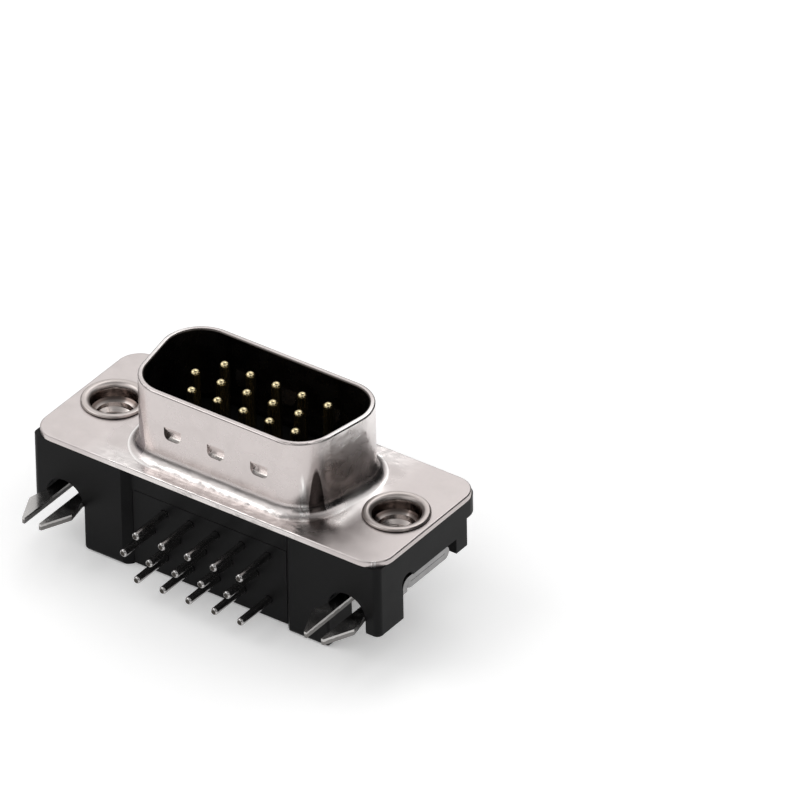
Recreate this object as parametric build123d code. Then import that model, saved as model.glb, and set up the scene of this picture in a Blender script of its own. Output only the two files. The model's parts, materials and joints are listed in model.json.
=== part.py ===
"""Right-angle male D-sub connector for a circuit board: fifteen contacts in three rows.

Millimetres. The mating axis is Z and points out of the shell. The board side is -Y.
Z = 0 is the plane that the rear of the connector rests on, and X = Y = 0 is the middle of the shell.
"""
from build123d import *
from math import cos, radians, sin, tan
import os

# Front shell, one drawn sheet
SHELL_SHEET = 0.45
D_WIDTH = 16.92  # inside, at the widest
D_HEIGHT = 8.36  # inside
D_CORNER = 2.6  # inside
D_SLANT = 10.0  # degrees, of the two short sides
D_RISE = 6.1  # rim above the flange
D_FOOT = 0.9  # outside radius between wall and flange
RIM_ROUND = 0.15
SCREW_GAP = 4.035  # inside of the D's end to the axis of the insert
FLANGE_END = 2.91  # axis of the insert to the end of the flange
FLANGE_SIDE = 2.095  # inside of the D's long wall to the edge of the flange
FLANGE_CORNER = 1.8
FLANGE_ROUND = 0.12
DIMPLE_PITCH = 3.81
DIMPLE_WIDTH = 1.5
DIMPLE_LEDGE = 2.35  # lower edge, above the flange
DIMPLE_LENGTH = 1.05
DIMPLE_DEPTH = 0.36
DIMPLE_CORNER = 0.45  # lower corners
DIMPLES = 3  # on each long wall

# Contacts
COLUMNS = 5
ROWS = 3
PITCH = 2.29
ROW_PITCH = 1.98
PIN_DIAMETER = 0.76
PIN_DOME = 0.32
PIN_CLEARANCE = 0.02
PIN_SETBACK = 0.6  # tips behind the rim of the shell
COLLAR_DIAMETER = 1.04
COLLAR_LENGTH = 0.9
TAIL_DIAMETER = 0.6
TAIL_ROW_PITCH = 1.9
TAIL_DROP = 0.26  # straight run behind the insulator, in the row nearest the flange
TAIL_BEND = 0.8  # radius along the middle of the tail
TAIL_LENGTH = 2.95  # past the board face
TAIL_DOME = 0.18

# Rear cover
COVER_CLEARANCE = 0.05
COVER_BOARD_WALL = 1.2
COVER_REAR_WALL = 0.95
COVER_CHAMFER = 0.15
COVER_TAIL_GAP = 0.39  # between the rear wall and the last row of tails
TAIL_CLEARANCE = 0.03

# Housing, one moulding. Depths are counted back from the front face of the flange.
HOUSING_END_SETBACK = 0.105  # inside the ends of the flange
HOUSING_SIDE_SETBACK = 0.075  # inside the long edges of the flange
TOP_CORNER = 1.2
BOARD_CORNER = 0.5
SLAB_DEPTH = 2.2
SLAB_ROUND = 0.3
DECK_DEPTH = 3.07  # thicker part of the slab, behind the inserts
RIB_DEPTH = 4.44
RIB_WALL = 1.3
RIB_ROUND = 0.2
EAR_GAP = 1.1  # insert to the ear's wall
LEG_DEPTH = 6.3
CHEEK_ROUND = 0.2
CHEEK_FILLET = 1.0
NOTCH_CLEARANCE = 0.1  # arch round the neck of the fork
NOTCH_DROP = 0.1  # centre of the arch behind the middle of the fork's sheet
CAVITY_SIDE_GAP = 1.3875  # outermost tail to the side wall
CAVITY_TOP_GAP = 0.42  # top row of tails to the top wall
TOWER_WALL = 1.5
TOWER_TOP_WALL = 1.9
TOWER_ROUND = 0.5
TOWER_REAR_ROUND = 0.35
RECESS_DEPTH = 0.6  # tails leave the housing this far in from the board face
RECESS_FLARE = 0.57  # each side of the recess opens by this much
INSULATOR_DEPTH = 2.33  # rear of the insulator block
BOSS_RISE = 0.2  # insulator's mating face above the flange
BOSS_CLEARANCE = 0.1
RELIEF_RADIUS = 0.7  # groove that clears the bend of the board lock
RELIEF_LENGTH = 4.6

# Threaded inserts, 4-40 thread
THREAD_RADIUS = 1.42
LEAD_RELIEF = 0.365  # plain lead-in wider than the thread
INSERT_WALL = 0.315  # round the lead-in
INSERT_CLEARANCE = 0.03
HEAD_OVERHANG = 0.375
HEAD_RISE = 0.25
HEAD_ROUND = 0.14
LEAD_LENGTH = 1.1
LEAD_FLARE = 0.4
LEAD_CONE = 0.25

# Board locks, one folded sheet each
LOCK_SHEET = 0.5
LOCK_BEND = 0.2  # inside radius
LOCK_CLEARANCE = 0.1  # web to the ear wall
HEM_GAP = 0.03
PLATE_WIDTH = 5.45
PLATE_TOP = 2.5  # insert axis to the fold of the plate
PLATE_FREE_EDGE = 2.4  # insert axis to the plate's free edge
PLATE_HOLE = 3.4
PLATE_CORNER = 0.3
FORK_DEPTH = 5.0  # middle of the fork's sheet
FORK_LENGTH = 3.95  # past the board face
FORK_TIP = 1.7  # width over the two tips
FORK_BARB = 3.8  # width over the barbs
FORK_NECK = 3.1
FORK_SHOULDER = 0.75  # middle of the fork's sheet to the wide part of the web
BARB_LENGTH = 1.7  # barbs past the board face
SLOT_WIDTH = 1.28
SLOT_OVERRUN = 0.1  # closed end of the slot, past the inner face of the ear's wall

# Places across the mating axis
SCREW_X = D_WIDTH / 2 + SCREW_GAP
FLANGE_WIDTH = 2 * (SCREW_X + FLANGE_END)
FLANGE_HEIGHT = D_HEIGHT + 2 * FLANGE_SIDE
HALF_HOUSING = FLANGE_WIDTH / 2 - HOUSING_END_SETBACK
BOARD_FACE = FLANGE_HEIGHT / 2 - HOUSING_SIDE_SETBACK  # mating axis to the face that sits on the board
TOP_FACE = BOARD_FACE
PIN_RADIUS = PIN_DIAMETER / 2
TAIL_RADIUS = TAIL_DIAMETER / 2
COLLAR_RADIUS = COLLAR_DIAMETER / 2
TAIL_REACH = BOARD_FACE + TAIL_LENGTH
HALF_CAVITY = (COLUMNS - 0.5) * PITCH / 2 + TAIL_RADIUS + CAVITY_SIDE_GAP
HALF_TOWER = HALF_CAVITY + TOWER_WALL
CAVITY_TOP = (ROWS - 1) * ROW_PITCH / 2 + TAIL_RADIUS + CAVITY_TOP_GAP
TOWER_TOP = CAVITY_TOP + TOWER_TOP_WALL
RIB_INNER = TOWER_TOP - RIB_WALL
RECESS_FACE = BOARD_FACE - RECESS_DEPTH
LEAD_RADIUS = THREAD_RADIUS + LEAD_RELIEF
INSERT_RADIUS = LEAD_RADIUS + INSERT_WALL
INSERT_HOLE = INSERT_RADIUS + INSERT_CLEARANCE
HEAD_RADIUS = INSERT_RADIUS + HEAD_OVERHANG
EAR_INNER = INSERT_RADIUS + EAR_GAP
NOTCH_RADIUS = FORK_NECK / 2 + NOTCH_CLEARANCE
CHEEK_EDGE = SCREW_X - NOTCH_RADIUS

# Levels along the mating axis
TAIL_DEPTH = INSULATOR_DEPTH + TAIL_DROP + TAIL_BEND  # row of tails nearest the flange
LAST_TAIL_DEPTH = TAIL_DEPTH + (ROWS - 1) * TAIL_ROW_PITCH
FLANGE_FRONT = LAST_TAIL_DEPTH + TAIL_RADIUS + COVER_TAIL_GAP + COVER_REAR_WALL
FLANGE_BACK = FLANGE_FRONT - SHELL_SHEET
SLAB_REAR = FLANGE_FRONT - SLAB_DEPTH
DECK_REAR = FLANGE_FRONT - DECK_DEPTH
RIB_REAR = FLANGE_FRONT - RIB_DEPTH
LEG_REAR = FLANGE_FRONT - LEG_DEPTH
INSULATOR_REAR = FLANGE_FRONT - INSULATOR_DEPTH
ROOT_LEVEL = (SLAB_REAR + FLANGE_BACK) / 2  # what stands behind the slab is rooted here inside it
FORK_LEVEL = FLANGE_FRONT - FORK_DEPTH
NOTCH_LEVEL = FORK_LEVEL - NOTCH_DROP
BOSS_FRONT = FLANGE_FRONT + BOSS_RISE
HEAD_FRONT = FLANGE_FRONT + HEAD_RISE
RIM = FLANGE_FRONT + D_RISE
OVERCUT = 1.0  # how far a cutting shape runs past the face that it opens
SAME = 1e-4  # two places nearer than this are one


def block(low, high):
    """Box between its lowest and highest corners."""
    size = [b - a for a, b in zip(low, high)]
    return Pos(*low) * Box(*size, align=(Align.MIN, Align.MIN, Align.MIN))


def rod(radius, x, y, low, high):
    """Cylinder along the mating axis, from one level to another."""
    return Pos(x, y, low) * Cylinder(radius, high - low, align=(Align.CENTER, Align.CENTER, Align.MIN))


def d_outline(grow):
    """The shell's D, wide side at +Y, grown by this much from the inside of the shell's wall."""
    half_width = D_WIDTH / 2 + grow
    half_height = D_HEIGHT / 2 + grow
    corner = D_CORNER + grow
    slant = radians(D_SLANT)
    wide = half_width - corner + corner * (1 + sin(slant)) / cos(slant)
    narrow = wide - 2 * half_height * tan(slant)
    corners = [(-wide, half_height), (-narrow, -half_height), (narrow, -half_height), (wide, half_height)]
    outline = Polygon(*corners, align=None)
    return fillet(outline.vertices(), corner)


def face_at(shape, level):
    """The flat face of a shape that lies across the mating axis at this level."""
    flat = [f for f in shape.faces().filter_by(Plane.XY) if abs(f.center().Z - level) < SAME]
    return max(flat, key=lambda f: f.area)


def dimple_wedge(y, side):
    """Wedge that is deepest at the lower edge, where its corners are round, and runs out above it."""
    low = FLANGE_FRONT + DIMPLE_LEDGE
    inward = y - side * DIMPLE_DEPTH
    profile = Polygon((y, low), (inward, low), (y, low + DIMPLE_LENGTH), align=None)
    wedge = extrude(Plane.YZ * profile, DIMPLE_WIDTH / 2, both=True)
    front = Rectangle(DIMPLE_WIDTH, DIMPLE_LENGTH, align=(Align.CENTER, Align.MIN))
    front = fillet(front.vertices().group_by(Axis.Y)[0], DIMPLE_CORNER)
    seen_from_front = Plane(origin=(0, y, low), x_dir=(1, 0, 0), z_dir=(0, -1, 0))
    return wedge & extrude(seen_from_front * front, DIMPLE_DEPTH, both=True)


def make_front_shell():
    plate = extrude(RectangleRounded(FLANGE_WIDTH, FLANGE_HEIGHT, FLANGE_CORNER), SHELL_SHEET)
    wall = extrude(d_outline(SHELL_SHEET), SHELL_SHEET + D_RISE)
    shell = Pos(0, 0, FLANGE_BACK) * (plate + wall)
    shell = fillet(face_at(shell, FLANGE_FRONT).inner_wires()[0].edges(), D_FOOT)
    shell = fillet(face_at(shell, FLANGE_FRONT).outer_wire().edges(), FLANGE_ROUND)
    shell -= Pos(0, 0, FLANGE_BACK) * extrude(d_outline(0), SHELL_SHEET + D_RISE)
    shell = fillet(face_at(shell, FLANGE_BACK).inner_wires()[0].edges(), D_FOOT + SHELL_SHEET)
    shell = fillet(face_at(shell, RIM).edges(), RIM_ROUND)
    inside = D_HEIGHT / 2
    for side in (-1, 1):
        for place in range(DIMPLES):
            x = (place - (DIMPLES - 1) / 2) * DIMPLE_PITCH
            shell += Pos(x, 0, 0) * dimple_wedge(side * inside, side)
            shell -= Pos(x, 0, 0) * dimple_wedge(side * (inside + SHELL_SHEET), side)
        shell -= rod(INSERT_HOLE, side * SCREW_X, 0, FLANGE_BACK - OVERCUT, FLANGE_FRONT + OVERCUT)
    return shell


def slab_outline():
    """Front view of the housing: large corners on top, small ones on the board side."""
    corners = [(-HALF_HOUSING, -BOARD_FACE), (HALF_HOUSING, -BOARD_FACE), (HALF_HOUSING, TOP_FACE),
               (-HALF_HOUSING, TOP_FACE)]
    outline = Polygon(*corners, align=None)
    outline = fillet(outline.vertices().group_by(Axis.Y)[-1], TOP_CORNER)
    return fillet(outline.vertices().group_by(Axis.Y)[0], BOARD_CORNER)


def tower_outline():
    """Rear view of the tower with its two cheeks."""
    half = [(CHEEK_EDGE, -BOARD_FACE), (CHEEK_EDGE, -EAR_INNER), (HALF_TOWER, -EAR_INNER),
            (HALF_TOWER, TOWER_TOP)]
    mirrored = [(-x, y) for x, y in reversed(half)]
    outline = Polygon(*half, *mirrored, align=None)
    top = outline.vertices().group_by(Axis.Y)[-1]
    outline = fillet(top, TOWER_ROUND)
    beside_tower = [v for v in outline.vertices() if abs(abs(v.X) - HALF_TOWER) < SAME]
    outline = fillet([v for v in beside_tower if abs(v.Y + EAR_INNER) < SAME], CHEEK_FILLET)
    outer = [v for v in outline.vertices() if abs(abs(v.X) - CHEEK_EDGE) < SAME]
    return fillet(outer, CHEEK_ROUND)


def housing_slab():
    """Slab behind the flange, with the thicker deck, the rib and the top of the ears' wall behind it."""
    slab = extrude(Plane.XY.offset(SLAB_REAR) * slab_outline(), FLANGE_BACK - SLAB_REAR)
    top_edges = face_at(slab, SLAB_REAR).edges().filter_by_position(Axis.Y, RIB_INNER, TOP_FACE)
    slab = fillet(top_edges, SLAB_ROUND)
    deck = block((-HALF_HOUSING, -BOARD_FACE, DECK_REAR), (HALF_HOUSING, TOWER_TOP, ROOT_LEVEL))
    rib = block((-HALF_HOUSING, RIB_INNER, RIB_REAR), (HALF_HOUSING, TOWER_TOP, ROOT_LEVEL))
    rib = fillet(face_at(rib, RIB_REAR).edges(), RIB_ROUND)
    ears = block((-HALF_HOUSING, -BOARD_FACE, NOTCH_LEVEL), (HALF_HOUSING, -EAR_INNER, ROOT_LEVEL))
    corners = extrude(Plane.XY * slab_outline(), FLANGE_BACK)
    return slab + ((deck + rib + ears) & corners)


def make_leg(side):
    """Outer leg of one ear, beside the fork."""
    inner = side * (SCREW_X + NOTCH_RADIUS)
    outer = side * HALF_HOUSING
    corners = [(inner, -BOARD_FACE), (outer, -BOARD_FACE), (outer, -EAR_INNER), (inner, -EAR_INNER)]
    outline = Polygon(*corners[::side], align=None)
    corner = [v for v in outline.vertices() if abs(v.X - outer) < SAME and abs(v.Y + BOARD_FACE) < SAME]
    outline = fillet(corner, BOARD_CORNER)
    leg = extrude(Plane.XY.offset(LEG_REAR) * outline, ROOT_LEVEL - LEG_REAR)
    return fillet(face_at(leg, LEG_REAR).edges(), CHEEK_ROUND)


def fork_arch(side):
    """Arch through the ear's wall, between the leg and the cheek."""
    length = BOARD_FACE - EAR_INNER + 2 * OVERCUT
    arch = Rot(-90, 0, 0) * Cylinder(NOTCH_RADIUS, length, align=(Align.CENTER, Align.CENTER, Align.MIN))
    return Pos(side * SCREW_X, -BOARD_FACE - OVERCUT, NOTCH_LEVEL) * arch


def bend_relief(side):
    """Groove beside the ear's wall, open at the housing's end."""
    y = -EAR_INNER + LOCK_CLEARANCE + LOCK_SHEET
    level = DECK_REAR - LOCK_SHEET / 2
    groove = Rot(0, 90, 0) * Cylinder(RELIEF_RADIUS, RELIEF_LENGTH + OVERCUT, align=(
        Align.CENTER, Align.CENTER, Align.MIN))
    start = HALF_HOUSING - RELIEF_LENGTH if side > 0 else -HALF_HOUSING - OVERCUT
    return Pos(start, y, level) * groove


def contact_places():
    """Number, X, Y and tail level of each contact, from the wide row to the narrow one."""
    places = []
    for row in range(ROWS):
        y = (1 - row) * ROW_PITCH
        shift = -PITCH / 4 if row % 2 else PITCH / 4
        level = FLANGE_FRONT - LAST_TAIL_DEPTH + row * TAIL_ROW_PITCH
        for column in range(COLUMNS):
            x = (column - (COLUMNS - 1) / 2) * PITCH + shift
            places.append((row * COLUMNS + column + 1, x, y, level))
    return places


def make_housing():
    tower = extrude(Plane.XY * tower_outline(), ROOT_LEVEL)
    tower = fillet(face_at(tower, 0).outer_wire().edges(), TOWER_REAR_ROUND)
    housing = housing_slab() + tower + make_leg(-1) + make_leg(1)
    low = (-HALF_CAVITY, -BOARD_FACE - OVERCUT, -OVERCUT)
    housing -= block(low, (HALF_CAVITY, CAVITY_TOP, INSULATOR_REAR))
    mouth = HALF_CAVITY + RECESS_FLARE
    recess = Polygon((-HALF_CAVITY, -RECESS_FACE), (-mouth, -BOARD_FACE), (-mouth, -BOARD_FACE - OVERCUT),
                     (mouth, -BOARD_FACE - OVERCUT), (mouth, -BOARD_FACE), (HALF_CAVITY, -RECESS_FACE),
                     align=None)
    housing -= extrude(Plane.XY.offset(-OVERCUT) * recess, FLANGE_BACK + 2 * OVERCUT)
    housing += extrude(Plane.XY.offset(FLANGE_BACK) * d_outline(-BOSS_CLEARANCE), BOSS_FRONT - FLANGE_BACK)
    for side in (-1, 1):
        housing -= fork_arch(side)
        housing -= bend_relief(side)
        housing -= rod(INSERT_HOLE, side * SCREW_X, 0, DECK_REAR - OVERCUT, FLANGE_BACK + OVERCUT)
    for number, x, y, level in contact_places():
        housing -= rod(PIN_RADIUS + PIN_CLEARANCE, x, y, INSULATOR_REAR - OVERCUT, BOSS_FRONT + OVERCUT)
        seat = INSULATOR_REAR + COLLAR_LENGTH + PIN_CLEARANCE
        housing -= rod(COLLAR_RADIUS + PIN_CLEARANCE, x, y, INSULATOR_REAR - OVERCUT, seat)
    return housing


def make_rear_cover():
    half = HALF_CAVITY - COVER_CLEARANCE
    top = CAVITY_TOP - COVER_CLEARANCE
    front = INSULATOR_REAR - COVER_CLEARANCE
    board_wall = block((-half, -RECESS_FACE, 0), (half, -RECESS_FACE + COVER_BOARD_WALL, front))
    rear_wall = block((-half, -RECESS_FACE, 0), (half, top, COVER_REAR_WALL))
    cover = board_wall + rear_wall
    cover = chamfer(face_at(cover, 0).edges(), COVER_CHAMFER)
    for number, x, y, level in contact_places():
        hole = Cylinder(TAIL_RADIUS + TAIL_CLEARANCE, COVER_BOARD_WALL + 2 * OVERCUT, align=(
            Align.CENTER, Align.CENTER, Align.MIN))
        cover -= Pos(x, -RECESS_FACE - OVERCUT, level) * Rot(-90, 0, 0) * hole
    return cover


def make_contact(x, y, level):
    """One contact: domed mating pin, collar in the insulator, and a tail bent toward the board."""
    tip = RIM - PIN_SETBACK
    pin = rod(PIN_RADIUS, 0, 0, INSULATOR_REAR, tip)
    pin = fillet(face_at(pin, tip).edges(), PIN_DOME)
    pin += rod(COLLAR_RADIUS, 0, 0, INSULATOR_REAR, INSULATOR_REAR + COLLAR_LENGTH)
    reach = TAIL_REACH + y
    drop = Line((0, 0, INSULATOR_REAR), (0, 0, level + TAIL_BEND))
    turn = TangentArc((0, 0, level + TAIL_BEND), (0, -TAIL_BEND, level), tangent=(0, 0, -1))
    run = Line((0, -TAIL_BEND, level), (0, -reach, level))
    tail = sweep(Plane.XY.offset(INSULATOR_REAR) * Circle(TAIL_RADIUS), path=Wire([drop, turn, run]))
    end = tail.faces().sort_by(Axis.Y)[0]
    tail = fillet(end.edges(), TAIL_DOME)
    return Pos(x, y, 0) * (pin + tail)


def make_threaded_insert(side):
    """Swaged bush: head on the flange, body through shell and housing, thread behind a plain lead-in."""
    rear = DECK_REAR - LOCK_SHEET
    lead_end = HEAD_FRONT - LEAD_LENGTH
    lip = LEAD_RADIUS + LEAD_FLARE
    outline = Polyline((THREAD_RADIUS, lead_end - LEAD_CONE), (THREAD_RADIUS, rear), (INSERT_RADIUS, rear),
                       (INSERT_RADIUS, FLANGE_FRONT), (HEAD_RADIUS, FLANGE_FRONT),
                       (HEAD_RADIUS, HEAD_FRONT - HEAD_ROUND))
    shoulder = RadiusArc((HEAD_RADIUS, HEAD_FRONT - HEAD_ROUND), (HEAD_RADIUS - HEAD_ROUND, HEAD_FRONT),
                         -HEAD_ROUND)
    top = Line((HEAD_RADIUS - HEAD_ROUND, HEAD_FRONT), (lip, HEAD_FRONT))
    flare = RadiusArc((lip, HEAD_FRONT), (LEAD_RADIUS, HEAD_FRONT - LEAD_FLARE), -LEAD_FLARE)
    lead = Polyline((LEAD_RADIUS, HEAD_FRONT - LEAD_FLARE), (LEAD_RADIUS, lead_end),
                    (THREAD_RADIUS, lead_end - LEAD_CONE))
    profile = make_face(Wire([*outline.edges(), shoulder, top, flare, *lead.edges()]))
    bush = revolve(Plane.XZ * profile, Axis.Z)
    return Pos(side * SCREW_X, 0, 0) * bush


def fork_outline():
    """The fork seen along the mating axis, two barbed arms and a neck, and the slot between the arms."""
    reach = BOARD_FACE + FORK_LENGTH
    half = [(FORK_TIP / 2, -reach), (FORK_BARB / 2, -BOARD_FACE - BARB_LENGTH), (FORK_NECK / 2, -BOARD_FACE),
            (FORK_NECK / 2, -EAR_INNER)]
    mirrored = [(-x, y) for x, y in reversed(half)]
    outline = Polygon(*half, *mirrored, align=None)
    slot_radius = SLOT_WIDTH / 2
    slot_centre = -EAR_INNER + SLOT_OVERRUN - slot_radius
    slot = Pos(0, slot_centre) * Circle(slot_radius)
    length = reach + slot_centre + OVERCUT
    slot += Pos(0, slot_centre) * Rectangle(SLOT_WIDTH, length, align=(Align.CENTER, Align.MAX))
    return outline, slot


def sheet_along(path, width):
    """Flat strip of the lock's sheet that follows a path in the YZ plane."""
    first = path.edges()[0]
    section = Plane(origin=first @ 0, x_dir=(1, 0, 0), z_dir=first % 0) * Rectangle(width, LOCK_SHEET)
    return sweep(section, path=path)


def make_board_lock(side):
    """Fork for the board, web, and a plate folded double behind the flange."""
    front_layer = DECK_REAR - LOCK_SHEET / 2
    rear_layer = front_layer - LOCK_SHEET - HEM_GAP
    web_y = -EAR_INNER + LOCK_CLEARANCE + LOCK_SHEET / 2
    bend = LOCK_BEND + LOCK_SHEET / 2
    plate_start = web_y + bend
    neck_end = (0, -EAR_INNER - bend, FORK_LEVEL)
    corner = (0, web_y, front_layer)
    plate_end = (0, plate_start + bend, front_layer)
    neck = FilletPolyline(neck_end, (0, web_y, FORK_LEVEL), corner, plate_end, radius=bend)
    web = FilletPolyline((0, web_y, FORK_LEVEL + FORK_SHOULDER), corner, plate_end, radius=bend)
    hem = (LOCK_SHEET + HEM_GAP) / 2
    turn_y = PLATE_TOP - hem - LOCK_SHEET / 2
    out = Line((0, plate_start, front_layer), (0, turn_y, front_layer))
    turn = TangentArc((0, turn_y, front_layer), (0, turn_y, rear_layer), tangent=(0, 1, 0))
    back = Line((0, turn_y, rear_layer), (0, -PLATE_FREE_EDGE, rear_layer))
    plate = sheet_along(Wire([out, turn, back]), PLATE_WIDTH)
    corners = plate.edges().filter_by(Axis.Z).group_by(Axis.Y)[0]
    plate = fillet(corners, PLATE_CORNER)
    fork, slot = fork_outline()
    arms = extrude(Plane.XY.offset(FORK_LEVEL) * fork, LOCK_SHEET / 2, both=True)
    lock = plate + sheet_along(Wire(web.edges()), PLATE_WIDTH)
    lock += sheet_along(Wire(neck.edges()), FORK_NECK) + arms
    lock -= extrude(Plane.XY.offset(FORK_LEVEL) * slot, LOCK_SHEET, both=True)
    between = (front_layer + rear_layer) / 2
    lock -= rod(PLATE_HOLE / 2, 0, 0, rear_layer - LOCK_SHEET, between)
    lock -= rod(INSERT_HOLE, 0, 0, between, DECK_REAR + OVERCUT)
    return Pos(side * SCREW_X, 0, 0) * lock


def make_parts():
    parts = {"front_shell": make_front_shell(), "housing": make_housing(), "rear_cover": make_rear_cover()}
    for name, side in (("left", -1), ("right", 1)):
        parts[f"board_lock_{name}"] = make_board_lock(side)
        parts[f"threaded_insert_{name}"] = make_threaded_insert(side)
    for number, x, y, level in contact_places():
        parts[f"contact_{number:02d}"] = make_contact(x, y, level)
    return parts


os.makedirs("parts", exist_ok=True)
for name, shape in make_parts().items():
    export_step(shape, f"parts/{name}.step")
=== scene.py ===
"""Looks of a right-angle D-sub connector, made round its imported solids.

Metres, in the frame of the solids: the mating axis is Z and points out of the shell, the board side is -Y,
and Z = 0 is the floor that the connector's rear rests on.
"""
import bpy
import bmesh
import json
import math
from mathutils import Matrix, Vector


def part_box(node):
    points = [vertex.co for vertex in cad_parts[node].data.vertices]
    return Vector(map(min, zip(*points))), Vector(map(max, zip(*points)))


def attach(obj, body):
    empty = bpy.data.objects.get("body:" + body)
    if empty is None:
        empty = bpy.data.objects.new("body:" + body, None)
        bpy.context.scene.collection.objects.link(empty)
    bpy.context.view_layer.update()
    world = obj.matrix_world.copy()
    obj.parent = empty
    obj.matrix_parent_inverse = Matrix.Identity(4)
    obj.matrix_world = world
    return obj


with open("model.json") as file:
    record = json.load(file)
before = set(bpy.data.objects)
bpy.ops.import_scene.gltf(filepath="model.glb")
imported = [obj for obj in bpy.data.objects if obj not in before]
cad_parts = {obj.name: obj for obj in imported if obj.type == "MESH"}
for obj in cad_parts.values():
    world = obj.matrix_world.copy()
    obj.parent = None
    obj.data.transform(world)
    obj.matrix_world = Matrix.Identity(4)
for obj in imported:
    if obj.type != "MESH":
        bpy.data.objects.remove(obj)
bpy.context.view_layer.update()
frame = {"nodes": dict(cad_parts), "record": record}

MM = 0.001

# Places on the connector
MOUNTS = {mount["name"]: mount for mount in frame["record"]["mounts"]}
SLOT_OF_NODE = {part["node"]: part["material_slot"] for part in frame["record"]["subparts"]}
SCREW_X = MOUNTS["screw_right"]["pos_m"][0]
HEAD_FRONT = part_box("threaded_insert_right")[1][2]
FLANGE_FRONT = HEAD_FRONT - 0.25 * MM
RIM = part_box("front_shell")[1][2]
WALL_END = SCREW_X - 3.585 * MM  # outer face of the D's wall at its widest
WALL_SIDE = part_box("front_shell")[1][1] - 1.645 * MM  # outer face of its long sides
DIMPLE_LEVEL = FLANGE_FRONT + 2.35 * MM  # lower lip of the dimples
TAIL_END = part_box("contact_01")[0][1]
FORK_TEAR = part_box("board_lock_right")[0][2] + 0.3 * MM  # where the sheared edge of the fork turns dull
FORK_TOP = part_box("board_lock_right")[0][2] + 0.5 * MM  # where its burnished band ends
GOLD_START = HEAD_FRONT - 1.2 * MM  # inside the insulator, where the plating changes

GRAIN_SPAN = (0.3, 0.7)  # usual least and most of a grain pattern


def srgb(code):
    """Linear colour of an sRGB hex value."""
    channels = [int(code[i:i + 2], 16) / 255 for i in (1, 3, 5)]
    linear = [c / 12.92 if c <= 0.04045 else ((c + 0.055) / 1.055) ** 2.4 for c in channels]
    return (*linear, 1.0)


def add(tree, kind, inputs=(), **settings):
    """One shader node with its settings. Its inputs are given in order or by name, each as a value, a hex
    colour, or the socket or node that it is linked to. A node stands for the first of its outputs in use."""
    node = tree.nodes.new("ShaderNode" + kind)
    for name, value in settings.items():
        setattr(node, name, value)
    for name, value in inputs.items() if isinstance(inputs, dict) else enumerate(inputs):
        if isinstance(value, bpy.types.Node):
            value = next(output for output in value.outputs if output.enabled)
        if isinstance(value, bpy.types.NodeSocket):
            tree.links.new(value, node.inputs[name])
        else:
            node.inputs[name].default_value = srgb(value) if isinstance(value, str) else value
    return node


def new_material(name):
    """Empty material and its node tree."""
    material = bpy.data.materials.new(name)
    material.use_nodes = True
    material.node_tree.nodes.clear()
    return material, material.node_tree


def end_material(tree, inputs):
    """The one surface shader of a material, and its output."""
    add(tree, "OutputMaterial", {"Surface": add(tree, "BsdfPrincipled", inputs)})


def grain(tree, place, size_mm, detail=2.0, stretch=(1, 1, 1)):
    """Irregular pattern whose grains have this size, longer along the axes where stretch is over 1."""
    scaled = add(tree, "Mapping", {"Vector": place, "Scale": [1 / s for s in stretch]})
    return add(tree, "TexNoise", {"Vector": scaled, "Scale": 1 / (size_mm * MM), "Detail": detail})


def where(tree, *limits, shape="LINEAR"):
    """1 where all the limits hold, and 0 elsewhere. A limit is another such mask, or a number, where it
    starts to hold and where it holds fully."""
    whole = None
    for limit in limits:
        if isinstance(limit, tuple):
            limit = add(tree, "MapRange", (*limit, 0, 1), interpolation_type=shape)
        whole = limit if whole is None else add(tree, "Math", (whole, limit), operation="MULTIPLY")
    return whole


def coats(tree, tone, *layers):
    """The tone with other colours laid over it in turn, each after the mask that says where."""
    for mask, colour in layers:
        tone = add(tree, "Mix", {"Factor": mask, 6: tone, 7: colour}, data_type="RGBA")
    return tone


def relief(tree, *layers):
    """Bumps laid over each other, each given by its pattern, its height in millimetres and its strength."""
    below = {}
    for pattern, rise_mm, strength in layers:
        below = {"Normal": add(tree, "Bump", {
            "Height": pattern, "Distance": rise_mm * MM, "Strength": strength, **below})}
    return below["Normal"]


def facing_near(tree, facing, heading, width):
    """1 on walls that face this way, in degrees from the board side toward +X, and 0 on those whose angle
    off it has a cosine lower than 1 by the width or more."""
    turn = math.radians(heading)
    aim = (math.sin(turn), -math.cos(turn), 0)
    level = add(tree, "VectorMath", (facing, (1, 1, 0)), operation="MULTIPLY")
    level = add(tree, "VectorMath", (level,), operation="NORMALIZE")
    aligned = add(tree, "VectorMath", (level, aim), operation="DOT_PRODUCT")
    return where(tree, (add(tree, "Math", (aligned, width), operation="ADD"), *FACING_EDGE))


# Finishes and painted light of the drawn shell: a pair is where one starts to show and where it is full. It
# is a level, or a distance off the middle, along the flange or across it. The pairs of the rubbed patch are
# X and Y, because it is on the right alone.
FLANGE_LEVEL = (FLANGE_FRONT + 0.87 * MM, FLANGE_FRONT + 0.47 * MM)
STRIP_SIDE = (WALL_SIDE - 0.13 * MM, WALL_SIDE + 0.37 * MM)
STRIP_END = (WALL_END + 2.09 * MM, WALL_END - 0.91 * MM)
FOOT_CORNER = (WALL_END - 0.91 * MM, WALL_SIDE - 1.23 * MM)  # X and Y of each corner of the foot
FOOT_CORNER_REACH = (3.4 * MM, 1.6 * MM)
# painted highlight along the foot of the wall
FOOT_HIGHLIGHT_BOTTOM = (FLANGE_FRONT + 0.002 * MM, FLANGE_FRONT + 0.006 * MM)
FOOT_HIGHLIGHT_TOP = (FLANGE_FRONT + 0.04 * MM, FLANGE_FRONT + 0.01 * MM)
RUBBED_LEFT = (WALL_END - 0.31 * MM, WALL_END + 0.29 * MM)
RUBBED_RIGHT = (WALL_END + 2.09 * MM, WALL_END + 0.69 * MM)
RUBBED_BOARD_SIDE = (0.23 * MM - WALL_SIDE, 1.43 * MM - WALL_SIDE)
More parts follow.
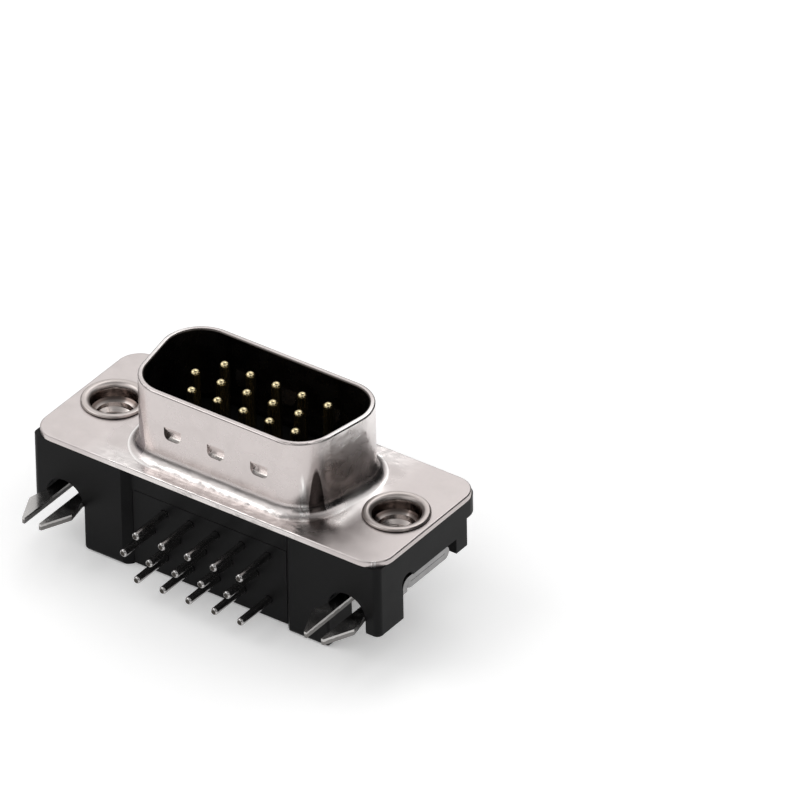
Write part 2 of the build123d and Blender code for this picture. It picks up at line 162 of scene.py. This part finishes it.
RUBBED_FAR_SIDE = (WALL_SIDE - 1.83 * MM, WALL_SIDE - 4.13 * MM)
RUBBED_SLOPE = (WALL_END + 1.89 * MM, WALL_END - 0.51 * MM)
# painted reflection on the end walls: darker toward the foot, lighter toward the rim
END_WALL = (WALL_END - 1.11 * MM, WALL_END - 0.31 * MM)
END_WALL_REFLECTION_BRIGHTENS = (FLANGE_FRONT + 1.17 * MM, RIM - 0.33 * MM)
INWARD = (-1.0 * MM, -2.0 * MM)  # how far out along its own normal a face lies, which is negative inside
# painted highlight on the lower lip of each dimple
LIP_BOTTOM = (DIMPLE_LEVEL - 0.02 * MM, DIMPLE_LEVEL - 0.01 * MM)
LIP_TOP = (DIMPLE_LEVEL + 0.22 * MM, DIMPLE_LEVEL + 0.14 * MM)
LIP_DEPTH = (WALL_SIDE - 0.03 * MM, WALL_SIDE - 0.05 * MM)
LIP_SPAN = (5.1 * MM, 5.0 * MM)  # all the dimples lie within it
WALL_ROUGHNESS = (0.20, 0.32)
FLANGE_ROUGHER = 0.14
STRIP_SMOOTHER = -0.16

# Painted reflections and highlights on the wall of the shell. A heading is in degrees from the board side
# toward +X.
PAINTED_CORNER_REFLECTIONS = (  # painted dark reflections down the two corners on the board side: heading, width at the foot, tone
    (-37, 0.034, "#A0989A"),
    (57, 0.020, "#4A4341"))
MARK_TAPER = (FLANGE_FRONT + 0.87 * MM, FLANGE_FRONT + 3.97 * MM)  # where it is widest and where it ends
MARK_FOOT = (FLANGE_FRONT + 0.15 * MM, FLANGE_FRONT + 0.3 * MM)
# painted highlight beside the right corner's dark band, broken into streaks by the score pattern
HIGHLIGHT_HEADING = 38
HIGHLIGHT_WIDTH = 0.006
HIGHLIGHT_TAPER = (FLANGE_FRONT + 1.67 * MM, FLANGE_FRONT + 3.57 * MM)
HIGHLIGHT_SCORES = (0.4, 0.6)  # of the score pattern
FACING_EDGE = (1.0, 1.003)  # of a cosine with the width added


def shell_zones(tree, x, y, z, facing):
    """Masks of the places on the drawn shell that differ in finish or in painted light, by name."""
    off_x, off_y = (add(tree, "Math", (axis,), operation="ABSOLUTE") for axis in (x, y))
    off_corner = add(tree, "VectorMath", (add(tree, "CombineXYZ", (off_x, off_y)), (*FOOT_CORNER, 0)),
                     operation="DISTANCE")
    outward = add(tree, "VectorMath", (add(tree, "CombineXYZ", (x, y)), facing), operation="DOT_PRODUCT")
    flange = where(tree, (z, *FLANGE_LEVEL))
    strip = where(tree, (off_y, *STRIP_SIDE), (off_x, *STRIP_END))
    by_corner = where(tree, (off_corner, *FOOT_CORNER_REACH), shape="SMOOTHSTEP")
    inside = where(tree, (outward, *INWARD))
    return {
        "flange": flange,
        "drawn": where(tree, flange, strip),
        "smooth": where(tree, flange, add(tree, "Math", (strip, by_corner), operation="MAXIMUM")),
        "rubbed": where(
            tree, (x, *RUBBED_LEFT), (x, *RUBBED_RIGHT), (y, *RUBBED_FAR_SIDE), (y, *RUBBED_BOARD_SIDE),
            flange, shape="SMOOTHSTEP"),
        "foot_highlight": where(tree, (z, *FOOT_HIGHLIGHT_BOTTOM), (z, *FOOT_HIGHLIGHT_TOP)),
        "end_wall": where(tree, (off_x, *END_WALL), add(tree, "Math", (1.0, flange), operation="SUBTRACT")),
        "inside": inside,
        "lip": where(
            tree, (z, *LIP_BOTTOM), (z, *LIP_TOP), (off_y, *LIP_DEPTH), (off_x, *LIP_SPAN),
            add(tree, "Math", (1.0, inside), operation="SUBTRACT"))}


def painted_corner_reflections(tree, z, facing):
    """Masks of the painted dark reflections down the corners of the shell's wall, each with its tone."""
    marks = []
    for heading, width, tone in PAINTED_CORNER_REFLECTIONS:
        tapered = add(tree, "MapRange", (z, *MARK_TAPER, width, 0))
        marks.append((where(tree, facing_near(tree, facing, heading, tapered), (z, *MARK_FOOT)), tone))
    return marks


def drawn_nickel_steel():
    """Deep-drawn steel sheet, nickel plated: a warm grey mirror on the wall and satin on the flange. The
    draw left the strips along the flange's long edges wavy and burnished in streaks, and a rubbed patch at
    the right end of the wall. A painted highlight runs round the foot of the wall. The end walls carry a
    painted reflection that grows darker toward the foot. A painted dark reflection runs down each corner on
    the board side, with a painted highlight in streaks beside the right one, and faint scores run up the
    whole wall. The lip of each dimple has a painted highlight, and the inside is darkened by painted shade."""
    material, tree = new_material("drawn_steel_nickel_plated")
    place = add(tree, "TexCoord").outputs["Object"]
    facing = add(tree, "NewGeometry").outputs["Normal"]
    x, y, z = add(tree, "SeparateXYZ", (place,)).outputs
    zone = shell_zones(tree, x, y, z, facing)
    mottle = grain(tree, place, size_mm=1.4, detail=3.0)
    streak = grain(tree, place, size_mm=0.16, detail=3.0, stretch=(9, 1, 9))
    score = grain(tree, place, size_mm=0.14, stretch=(1, 1, 14))
    wave = grain(tree, place, size_mm=2.8, detail=1.0)
    pull = grain(tree, place, size_mm=1.1, stretch=(1.6, 1, 1))
    tapered = add(tree, "MapRange", (z, *HIGHLIGHT_TAPER, HIGHLIGHT_WIDTH, 0))
    highlight_scores = where(tree, facing_near(tree, facing, HIGHLIGHT_HEADING, tapered), (score, *HIGHLIGHT_SCORES))
    tone = coats(
        tree, "#C8C0BE", (where(tree, (mottle, *GRAIN_SPAN)), "#D4CCCA"),
        # painted reflection on the end walls, darker toward the foot
        (zone["end_wall"], coats(tree, "#AEA6A4", (where(tree, (z, *END_WALL_REFLECTION_BRIGHTENS)), "#EFEAE8"))),
        (zone["drawn"], coats(tree, "#D0C9C7", (streak, "#E8E3E1"))),
        # painted dark reflections down the corners on the board side
        *painted_corner_reflections(tree, z, facing),
        # painted highlight in streaks beside the right corner
        (highlight_scores, "#FBF8F6"),
        (zone["rubbed"], "#EAE5E3"),
        # painted highlight along the foot of the wall
        (zone["foot_highlight"], "#F4F0EE"),
        # painted shade over the inside of the shell
        (zone["inside"], "#56514E"),
        # painted highlight on the lips of the dimples
        (zone["lip"], "#FBF8F6"))
    rough = add(tree, "MapRange", (mottle, *GRAIN_SPAN, *WALL_ROUGHNESS))
    rough = add(tree, "Math", (zone["flange"], FLANGE_ROUGHER, rough), operation="MULTIPLY_ADD")
    rough = add(tree, "Math", (zone["smooth"], STRIP_SMOOTHER, rough), operation="MULTIPLY_ADD")
    normal = relief(
        tree, (wave, 0.03, 0.3),
        (where(tree, (x, *RUBBED_SLOPE)), 0.6, zone["rubbed"]),
        (streak, 0.006, zone["rubbed"]),
        (pull, 0.15, zone["drawn"]),
        (pull, 0.05, zone["end_wall"]),
        (streak, 0.009, zone["drawn"]),
        (score, 0.003, 0.3))
    end_material(tree, {"Base Color": tone, "Metallic": 1.0, "Roughness": rough, "Normal": normal})
    return material


POLYESTER_ROUGHNESS = (0.36, 0.46)
POLYESTER_SPECULAR = 0.12


def moulded_black_polyester():
    """Glass-filled polyester, injection moulded black: deep and satin, with the fine spark-eroded grain of
    the mould and faint flow clouds."""
    material, tree = new_material("moulded_black_polyester")
    place = add(tree, "TexCoord").outputs["Object"]
    cloud = grain(tree, place, size_mm=4.0)
    eroded = grain(tree, place, size_mm=0.12, detail=3.0)
    end_material(tree, {
        "Base Color": coats(tree, "#0A0A0B", (where(tree, (cloud, *GRAIN_SPAN)), "#0F0F10")),
        "Roughness": add(tree, "MapRange", (cloud, *GRAIN_SPAN, *POLYESTER_ROUGHNESS)),
        "Specular IOR Level": POLYESTER_SPECULAR, "Normal": relief(tree, (eroded, 0.006, 0.3))})
    return material


# Finishes of the contacts: a pair is where one starts to show and where it is full
GOLD_EDGE = (GOLD_START, GOLD_START + 0.1 * MM)
CUT_END = (TAIL_END + 0.05 * MM, TAIL_END + 0.02 * MM)
CUT_FACING = (-0.85, -0.97)  # Y of the normal, on the flat of the cut inside its rim
CONTACT_ROUGHNESS = (0.15, 0.21)
CUT_ROUGHER = 0.3


def plated_contact_brass():
    """Brass contact: thin gold over nickel on the mating pin, tin on the tail, with fine streaks along the
    wire. The flat of the tail's cut end is darker and rougher inside its rim."""
    material, tree = new_material("contact_brass_gold_and_tin")
    place = add(tree, "TexCoord").outputs["Object"]
    facing = add(tree, "SeparateXYZ", (add(tree, "NewGeometry").outputs["Normal"],)).outputs["Y"]
    _, y, z = add(tree, "SeparateXYZ", (place,)).outputs
    gold = where(tree, (z, *GOLD_EDGE))
    # darker and rougher on the flat of the tail's cut end, inside its rim
    dark_cut_face = where(tree, (y, *CUT_END), (facing, *CUT_FACING))
    pin_streak = grain(tree, place, size_mm=0.2, stretch=(1, 1, 7))
    tail_streak = grain(tree, place, size_mm=0.16, stretch=(1, 7, 1))
    streak = add(tree, "Mix", {"Factor": gold, "A": tail_streak, "B": pin_streak})
    tone = coats(
        tree, "#AEACAB", (tail_streak, "#CBC9C8"),
        (gold, coats(tree, "#C4B184", (pin_streak, "#E4D7B2"))),
        (dark_cut_face, "#46423E"))
    rough = add(tree, "MapRange", (streak, *GRAIN_SPAN, *CONTACT_ROUGHNESS))
    rough = add(tree, "Math", (dark_cut_face, CUT_ROUGHER, rough), operation="MULTIPLY_ADD")
    normal = relief(tree, (streak, 0.002, 0.3))
    end_material(tree, {"Base Color": tone, "Metallic": 1.0, "Roughness": rough, "Normal": normal})
    return material


# Finishes of the board locks: a pair is where one starts to show and where it is full
SHEARED_FACING = (0.6, 0.3)  # size of Z of the normal
BURNISHED_BOTTOM = (FORK_TEAR, FORK_TEAR + 0.03 * MM)
BURNISHED_TOP = (FORK_TOP + 0.1 * MM, FORK_TOP)
FORK_EDGE = (FORK_TOP + 0.2 * MM, FORK_TOP)
TEAR_WANDER = (-0.04 * MM, 0.04 * MM)  # how far these levels stray
LOCK_ROUGHNESS = (0.16, 0.30)
TORN_ROUGHER = 0.25


def tinned_rolled_sheet():
    """Rolled phosphor bronze, bright tin plated, then stamped: cool light grey with faint rolling lines
    along the fork. Sheared edges are greyer and duller, and on the fork they keep a burnished band along
    the top. Below that band the fork's sheared edges are darker still, partly a duller tear and partly
    painted shade."""
    material, tree = new_material("rolled_sheet_tin_plated")
    place = add(tree, "TexCoord").outputs["Object"]
    facing = add(tree, "SeparateXYZ", (add(tree, "NewGeometry").outputs["Normal"],)).outputs["Z"]
    facing = add(tree, "Math", (facing,), operation="ABSOLUTE")
    z = add(tree, "SeparateXYZ", (place,)).outputs["Z"]
    wander = add(tree, "MapRange", (grain(tree, place, size_mm=0.4), *GRAIN_SPAN, *TEAR_WANDER))
    level = add(tree, "Math", (z, wander), operation="ADD")
    burnished = where(tree, (level, *BURNISHED_BOTTOM), (level, *BURNISHED_TOP))
    torn = where(tree, (facing, *SHEARED_FACING), add(tree, "Math", (1.0, burnished), operation="SUBTRACT"))
    on_fork = where(tree, (level, *FORK_EDGE))
    mottle = grain(tree, place, size_mm=1.0)
    rolling = grain(tree, place, size_mm=0.12, stretch=(1, 12, 1))
    tone = coats(
        tree, "#A9A7A5", (mottle, "#C8C6C4"),
        # on the fork the torn edges are darker: partly a duller tear, partly painted shade
        (torn, coats(tree, "#A2A1A1", (on_fork, "#7E7C7A"))))
    rough = add(tree, "MapRange", (mottle, *GRAIN_SPAN, *LOCK_ROUGHNESS))
    rough = add(tree, "Math", (torn, TORN_ROUGHER, rough), operation="MULTIPLY_ADD")
    normal = relief(tree, (rolling, 0.004, 0.3))
    end_material(tree, {"Base Color": tone, "Metallic": 1.0, "Roughness": rough, "Normal": normal})
    return material


# Finishes and painted shade of the inserts: a pair is where one starts to show and where it is full
BORE_RADIUS = (1.86 * MM, 1.79 * MM)
BORE_TOP = (HEAD_FRONT - 0.35 * MM, HEAD_FRONT - 0.5 * MM)
BORE_BOTTOM = (HEAD_FRONT - 1.4 * MM, HEAD_FRONT - 1.2 * MM)
SEAM_RADIUS = (2.30 * MM, 2.32 * MM)
SEAM_TOP = (FLANGE_FRONT + 0.10 * MM, FLANGE_FRONT + 0.06 * MM)
HEAD_RADIUS = (1.79 * MM, 1.80 * MM)
HEAD_BOTTOM = (HEAD_FRONT - 0.5 * MM, HEAD_FRONT - 0.4 * MM)
INSERT_ROUGHNESS = (0.12, 0.22)
HEAD_ROUGHER = 0.2


def turned_nickel_brass():
    """Turned brass bush, nickel plated: a bright warm mirror with turning marks round its axis, painted
    brown shade down the lead-in of its bore, and a dark seam under its head. The marks are drawn at
    0.12 mm, coarser than real ones, so that they show."""
    material, tree = new_material("turned_brass_nickel_plated")
    place = add(tree, "TexCoord").outputs["Object"]
    x, y, z = add(tree, "SeparateXYZ", (place,)).outputs
    off_x = add(tree, "Math", (x,), operation="ABSOLUTE")
    across = add(tree, "Math", (off_x, SCREW_X), operation="SUBTRACT")
    radius = add(tree, "VectorMath", (add(tree, "CombineXYZ", (across, y)),), operation="LENGTH")
    marks = grain(tree, add(tree, "CombineXYZ", {"X": radius, "Z": z}), size_mm=0.12, detail=1.0)
    # painted shade down the lead-in of the bore
    bore = where(tree, (radius, *BORE_RADIUS), (z, *BORE_TOP), (z, *BORE_BOTTOM))
    seam = where(tree, (radius, *SEAM_RADIUS), (z, *SEAM_TOP))
    head = where(tree, (z, *HEAD_BOTTOM), (radius, *HEAD_RADIUS))
    tone = coats(tree, "#BDB4B0", (marks, "#CDC5C1"), (bore, "#6A5E59"), (seam, "#2A2524"))
    rough = add(tree, "MapRange", (marks, *GRAIN_SPAN, *INSERT_ROUGHNESS))
    rough = add(tree, "Math", (head, HEAD_ROUGHER, rough), operation="MULTIPLY_ADD")
    normal = relief(tree, (marks, 0.006, 0.3))
    end_material(tree, {"Base Color": tone, "Metallic": 1.0, "Roughness": rough, "Normal": normal})
    return material


def dress_nodes():
    """Gives each solid the material of its slot."""
    polyester = moulded_black_polyester()
    materials = {
        "shell_nickel": drawn_nickel_steel(), "housing_plastic": polyester, "cover_plastic": polyester,
        "lock_tin": tinned_rolled_sheet(), "insert_nickel": turned_nickel_brass(),
        "contact_metal": plated_contact_brass()}
    for name, node in frame["nodes"].items():
        for node_slot in node.material_slots:
            node_slot.material = materials[SLOT_OF_NODE[name]]
    return materials


# Thread of the inserts, 4-40
THREAD_PITCH = 0.635 * MM
THREAD_DEPTH = 0.30 * MM
THREAD_CREST = 0.08 * MM  # flat at the crest
THREAD_ROOT = 0.05 * MM  # gap between two turns at the wall
THREAD_SEAT = 0.004 * MM  # the ridge starts this far inside the wall
THREAD_STEPS = 72  # a turn
THREAD_RUN_OUT = THREAD_STEPS / 4  # steps over which the ridge grows at each end
THREAD_LEAST = 0.02  # share of its depth that it starts from


def thread_ridge(side, material):
    """Helical ridge of an insert's thread, on the plain wall that the solid has there."""
    mount = MOUNTS[f"screw_{side}"]
    x, y, _ = mount["pos_m"]
    bore = mount["dims"]["r_mm"] * MM
    wall, crest = bore + THREAD_SEAT, bore - THREAD_DEPTH
    half_foot, half_crest = (THREAD_PITCH - THREAD_ROOT) / 2, THREAD_CREST / 2
    section = [(wall, -half_foot), (crest, -half_crest), (crest, half_crest), (wall, half_foot)]
    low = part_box(f"threaded_insert_{side}")[0][2] + half_foot
    climb = mount["dims"]["length_mm"] * MM - 2 * half_foot
    steps = round(climb / THREAD_PITCH * THREAD_STEPS)
    ridge = bmesh.new()
    rings = []
    for step in range(steps + 1):
        angle = 2 * math.pi * step / THREAD_STEPS
        level = low + climb * step / steps
        grown = max(THREAD_LEAST, min(1, step / THREAD_RUN_OUT, (steps - step) / THREAD_RUN_OUT))
        ring = []
        for radius, rise in section:
            reach = wall + (radius - wall) * grown
            point = (x + reach * math.cos(angle), y + reach * math.sin(angle), level + rise)
            ring.append(ridge.verts.new(point))
        rings.append(ring)
    for near, far in zip(rings, rings[1:]):
        for i in range(len(section)):
            j = (i + 1) % len(section)
            ridge.faces.new((near[i], near[j], far[j], far[i]))
    ridge.faces.new(rings[0][::-1])
    ridge.faces.new(rings[-1])
    bmesh.ops.recalc_face_normals(ridge, faces=ridge.faces)
    name = f"insert_thread_{side}"
    mesh = bpy.data.meshes.new(name)
    ridge.to_mesh(mesh)
    ridge.free()
    mesh.materials.append(material)
    piece = bpy.data.objects.new(name, mesh)
    bpy.context.scene.collection.objects.link(piece)
    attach(piece, "root")


def seen_directly(tree):
    """1 for rays from the camera, from a reflection or through something clear, otherwise 0."""
    path = add(tree, "LightPath").outputs
    seen = path["Is Camera Ray"]
    for other in ("Is Glossy Ray", "Is Transmission Ray"):
        seen = add(tree, "Math", (seen, path[other]), operation="MAXIMUM")
    return seen


# White room
DIFFUSE_SKY = 0.75  # its strength where it lights the connector
HORIZON = (0.15, 0.45)  # sines of the heights between which the dark horizon turns white
CEILING = (0.80, 0.96)  # the same for where the white turns dark overhead
HORIZON_WHITE = 0.10
CEILING_WHITE = 0.25


def make_world():
    """White room: full white to the camera and softer where it lights. Reflections also see a dark horizon
    and a dark ceiling, which draw the edges of the metal."""
    world = bpy.data.worlds.new("studio")
    bpy.context.scene.world = world
    world.use_nodes = True
    tree = world.node_tree
    tree.nodes.clear()
    height = add(tree, "SeparateXYZ", (add(tree, "TexCoord").outputs["Generated"],)).outputs["Z"]
    horizon = add(tree, "MapRange", (height, *HORIZON, HORIZON_WHITE, 1.0))
    ceiling = add(tree, "MapRange", (height, *CEILING, 1.0, CEILING_WHITE))
    room = add(tree, "Math", (horizon, ceiling), operation="MULTIPLY")
    glossy = add(tree, "LightPath").outputs["Is Glossy Ray"]
    not_glossy = add(tree, "Math", (1.0, glossy), operation="SUBTRACT")
    room = add(tree, "Math", (room, not_glossy), operation="MAXIMUM")
    level = add(tree, "MapRange", (seen_directly(tree), 0.0, 1.0, DIFFUSE_SKY, 1.0))
    strength = add(tree, "Math", (room, level), operation="MULTIPLY")
    add(tree, "OutputWorld", {
        "Surface": add(tree, "Background", {"Color": "#FFFFFF", "Strength": strength})})


# Floor
FLOOR_SIZE = 4.0
FLOOR_LIGHTS_AS = "#B8B8B8"  # its colour where it lights the connector
FLOOR_LIFT = 0.20  # share of its white that shadows can't take away
FLOOR_FADE = (40 * MM, 110 * MM)  # from here to there it darkens in reflections
FLOOR_DARKNESS = 0.9  # how dark it gets in them


def make_floor():
    """Pale floor that reads white in the open and keeps the soft shadow round the connector."""
    bpy.ops.mesh.primitive_plane_add(size=FLOOR_SIZE)
    floor = bpy.context.object
    floor.name = "floor"
    material, tree = new_material("floor_white")
    lighting = add(tree, "BsdfDiffuse", {"Color": FLOOR_LIGHTS_AS})
    shown = add(tree, "AddShader", (
        add(tree, "BsdfDiffuse", {"Color": "#FFFFFF"}),
        add(tree, "Emission", {"Color": "#FFFFFF", "Strength": FLOOR_LIFT})))
    place = add(tree, "TexCoord").outputs["Object"]
    away = add(tree, "VectorMath", (place,), operation="LENGTH")
    beyond = add(tree, "Math", (
        add(tree, "MapRange", (away, *FLOOR_FADE, 0, FLOOR_DARKNESS)),
        add(tree, "LightPath").outputs["Is Glossy Ray"]), operation="MULTIPLY")
    shown = add(tree, "MixShader", (beyond, shown, add(tree, "Emission", {"Color": "#000000"})))
    add(tree, "OutputMaterial", {"Surface": add(tree, "MixShader", (seen_directly(tree), lighting, shown))})
    floor.data.materials.append(material)


CARDS = {  # place of the middle, heading of the normal in degrees from +X, width and height
    "dark_card_end": ((34 * MM, 14 * MM, 20 * MM), 0, 40 * MM, 40 * MM),
    "dark_card_back": ((20 * MM, 42 * MM, 22 * MM), 64, 36 * MM, 44 * MM),
    "dark_card_camera": ((68 * MM, -80 * MM, 82 * MM), -53.6, 90 * MM, 80 * MM)}


def make_cards():
    """Black cards that only reflections see, upright beyond the right end, behind the connector and by the
    camera."""
    material, tree = new_material("card_black")
    add(tree, "OutputMaterial", {"Surface": add(tree, "Emission", {"Color": "#000000"})})
    for name, (place, heading, width, height) in CARDS.items():
        bpy.ops.mesh.primitive_plane_add(size=1, location=place)
        card = bpy.context.object
        card.name = name
        card.rotation_euler = (math.radians(90), 0, math.radians(heading + 90))
        card.scale = (width, height, 1)
        card.data.materials.append(material)
        card.visible_camera = False
        card.visible_diffuse = False
        card.visible_shadow = False
        card.visible_transmission = False


LAMPS = {  # place, side and power in watts
    "lamp_left": ((-0.5, -0.2, 0.6), 0.4, 0.8),
    "lamp_back": ((-0.2, 0.55, 0.75), 0.35, 0.8)}


def make_lamps():
    """Soft square lamps, aimed at the connector."""
    for name, (place, side, power) in LAMPS.items():
        data = bpy.data.lights.new(name, "AREA")
        data.size = side
        data.energy = power
        lamp = bpy.data.objects.new(name, data)
        lamp.location = place
        lamp.rotation_mode = "QUATERNION"
        lamp.rotation_quaternion = (-Vector(place)).to_track_quat("-Z", "Y")
        bpy.context.scene.collection.objects.link(lamp)


# Camera, as in the photograph
CAMERA_AZIMUTH = 36.37  # degrees from the board side toward +X
CAMERA_ELEVATION = 34.34
CAMERA_ROLL = -1.02
CAMERA_TARGET = (8.669 * MM, 5.827 * MM, 13.78 * MM)
CAMERA_DISTANCE = 1022.5 * MM
CAMERA_LENS = 646.24
SENSOR_WIDTH = 36.0
CLIP_RATIO = 10  # the camera sees from its distance over this to its distance times this


def make_camera():
    """The photograph's view: from the board side and above, long lens."""
    azimuth, elevation, roll = (math.radians(a) for a in (CAMERA_AZIMUTH, CAMERA_ELEVATION, CAMERA_ROLL))
    back = Vector((math.sin(azimuth) * math.cos(elevation), -math.cos(azimuth) * math.cos(elevation),
                   math.sin(elevation)))
    right = Vector((math.cos(azimuth), math.sin(azimuth), 0))
    up = back.cross(right)
    turned_right = math.cos(roll) * right + math.sin(roll) * up
    turned_up = math.cos(roll) * up - math.sin(roll) * right
    data = bpy.data.cameras.new("camera")
    data.sensor_width = SENSOR_WIDTH
    data.lens = CAMERA_LENS
    data.clip_start = CAMERA_DISTANCE / CLIP_RATIO
    data.clip_end = CAMERA_DISTANCE * CLIP_RATIO
    camera = bpy.data.objects.new("camera", data)
    axes = Matrix((turned_right, turned_up, back)).transposed().to_4x4()
    camera.matrix_world = Matrix.Translation(Vector(CAMERA_TARGET) + back * CAMERA_DISTANCE) @ axes
    bpy.context.scene.collection.objects.link(camera)
    bpy.context.scene.camera = camera


materials = dress_nodes()
for side in ("left", "right"):
    thread_ridge(side, materials["insert_nickel"])
make_world()
make_floor()
make_cards()
make_lamps()
make_camera()
bpy.context.scene.view_settings.view_transform = "Standard"
